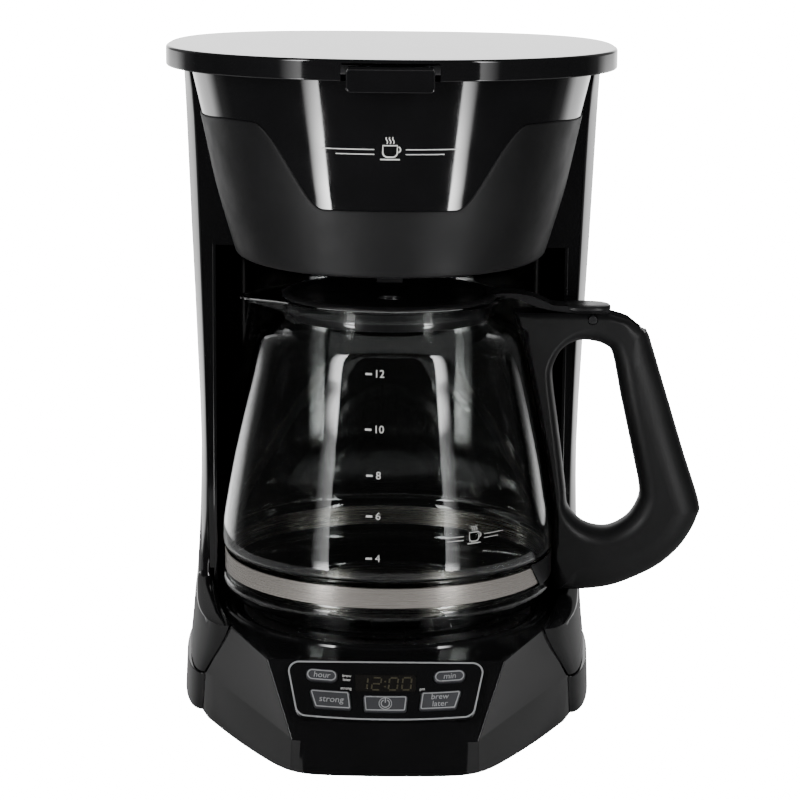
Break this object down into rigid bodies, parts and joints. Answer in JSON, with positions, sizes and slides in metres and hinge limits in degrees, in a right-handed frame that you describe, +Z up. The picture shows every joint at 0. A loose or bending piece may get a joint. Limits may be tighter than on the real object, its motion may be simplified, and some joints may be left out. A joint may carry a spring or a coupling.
{
  "type": "drip coffee maker",
  "caption": "Programmable drip coffee maker with a hinged top lid, brew head, keypad base and a glass carafe that lifts out over a warming plate.",
  "frame": {"origin": "middle of the overall footprint, at the height of the table", "axes": "+Z up, -Y towards the front with the control panel, +X towards the carafe's handle"},
  "size_m": [0.2632, 0.2381, 0.326],
  "materials": {
    "gloss_black": "polished ABS",
    "matte_black": "fine matte texture",
    "satin_black": "satin polypropylene",
    "key_grey": "satin with pale lettering",
    "inner_grey": "unpainted moulding",
    "rubber": "dull",
    "silicone": "translucent white",
    "glass": "clear borosilicate",
    "smoked": "smoked window",
    "steel": "brushed",
    "aluminium": "extruded",
    "coated_steel": "black non-stick coating",
    "board": "solder mask"
  },
  "bodies": {
    "machine": {"base_shell": "gloss_black", "bottom_cover": "satin_black", "bottom_screw_1": "steel", "bottom_screw_2": "steel", "bottom_screw_3": "steel", "bottom_screw_4": "steel", "foot_1": "rubber", "foot_2": "rubber", "foot_3": "rubber", "foot_4": "rubber", "control_panel": "gloss_black", "display_window": "smoked", "control_board": "board", "warming_plate": "coated_steel", "plate_ring": "gloss_black", "heating_element": "aluminium", "heater_clamp": "steel", "thermostat": "inner_grey", "thermal_fuse": "steel", "hot_water_riser": "silicone", "cold_water_tube": "silicone", "check_valve": "inner_grey", "tank_hose": "silicone", "water_tank": "inner_grey", "water_window": "smoked", "tower_shell": "gloss_black", "lid_hinge_pin_right": "steel", "lid_hinge_pin_left": "steel", "bay_wall": "gloss_black", "brew_head_band": "matte_black", "upper_fascia": "gloss_black", "head_cheek_right": "gloss_black", "head_cheek_left": "gloss_black", "brew_head_floor": "satin_black", "brew_basket": "satin_black", "basket_handle": "satin_black", "lever_pin": "steel", "drip_stop_spring": "steel", "cord_gland": "rubber"},
    "lid": {"lid_cover": "gloss_black", "lid_tab": "gloss_black", "lid_liner": "satin_black", "shower_head": "satin_black"},
    "carafe": {"carafe_glass": "glass", "carafe_band": "steel", "carafe_handle": "satin_black", "carafe_lid_pin": "satin_black"},
    "carafe_lid": {"carafe_lid": "satin_black"},
    "drip_stop": {"drip_stop_lever": "satin_black", "drip_stop_seal": "silicone"},
    "hour_key": {"hour_button": "key_grey"},
    "min_key": {"min_button": "key_grey"},
    "strong_key": {"strong_button": "key_grey"},
    "power_key": {"power_button": "key_grey"},
    "brew_later_key": {"brew_later_button": "key_grey"}
  },
  "joints": [
    {"name": "lid_hinge", "type": "hinge", "parent": "machine", "child": "lid", "pos_m": [-0.0236, 0.1137, 0.319], "axis": [-1, 0, 0], "range_deg": [0, 100]},
    {"name": "carafe_slide", "type": "slide", "parent": "machine", "child": "carafe", "axis": [0, -0.9954, 0.0958], "range_m": [0, 0.25]},
    {"name": "carafe_lid_hinge", "type": "hinge", "parent": "carafe", "child": "carafe_lid", "pos_m": [0.0753, 0.0057, 0.1944], "axis": [0, 1, 0], "range_deg": [0, 4.5]},
    {"name": "drip_stop_rock", "type": "hinge", "parent": "machine", "child": "drip_stop", "pos_m": [-0.0236, 0.0653, 0.219], "axis": [-1, 0, 0], "range_deg": [0, 2.7]},
    {"name": "hour_press", "type": "slide", "parent": "machine", "child": "hour_key", "axis": [0, 0.7071, -0.7071], "range_m": [0, 0.001], "stiffness_N_per_m": 300},
    {"name": "min_press", "type": "slide", "parent": "machine", "child": "min_key", "axis": [0, 0.7071, -0.7071], "range_m": [0, 0.001], "stiffness_N_per_m": 300},
    {"name": "strong_press", "type": "slide", "parent": "machine", "child": "strong_key", "axis": [0, 0.7071, -0.7071], "range_m": [0, 0.001], "stiffness_N_per_m": 300},
    {"name": "power_press", "type": "slide", "parent": "machine", "child": "power_key", "axis": [0, 0.7071, -0.7071], "range_m": [0, 0.001], "stiffness_N_per_m": 300},
    {"name": "brew_later_press", "type": "slide", "parent": "machine", "child": "brew_later_key", "axis": [0, 0.7071, -0.7071], "range_m": [0, 0.001], "stiffness_N_per_m": 300}
  ],
  "couplings": [
    {"joint": "drip_stop_rock", "follows": "carafe_slide", "rad_per_m": 0.188}
  ]
}
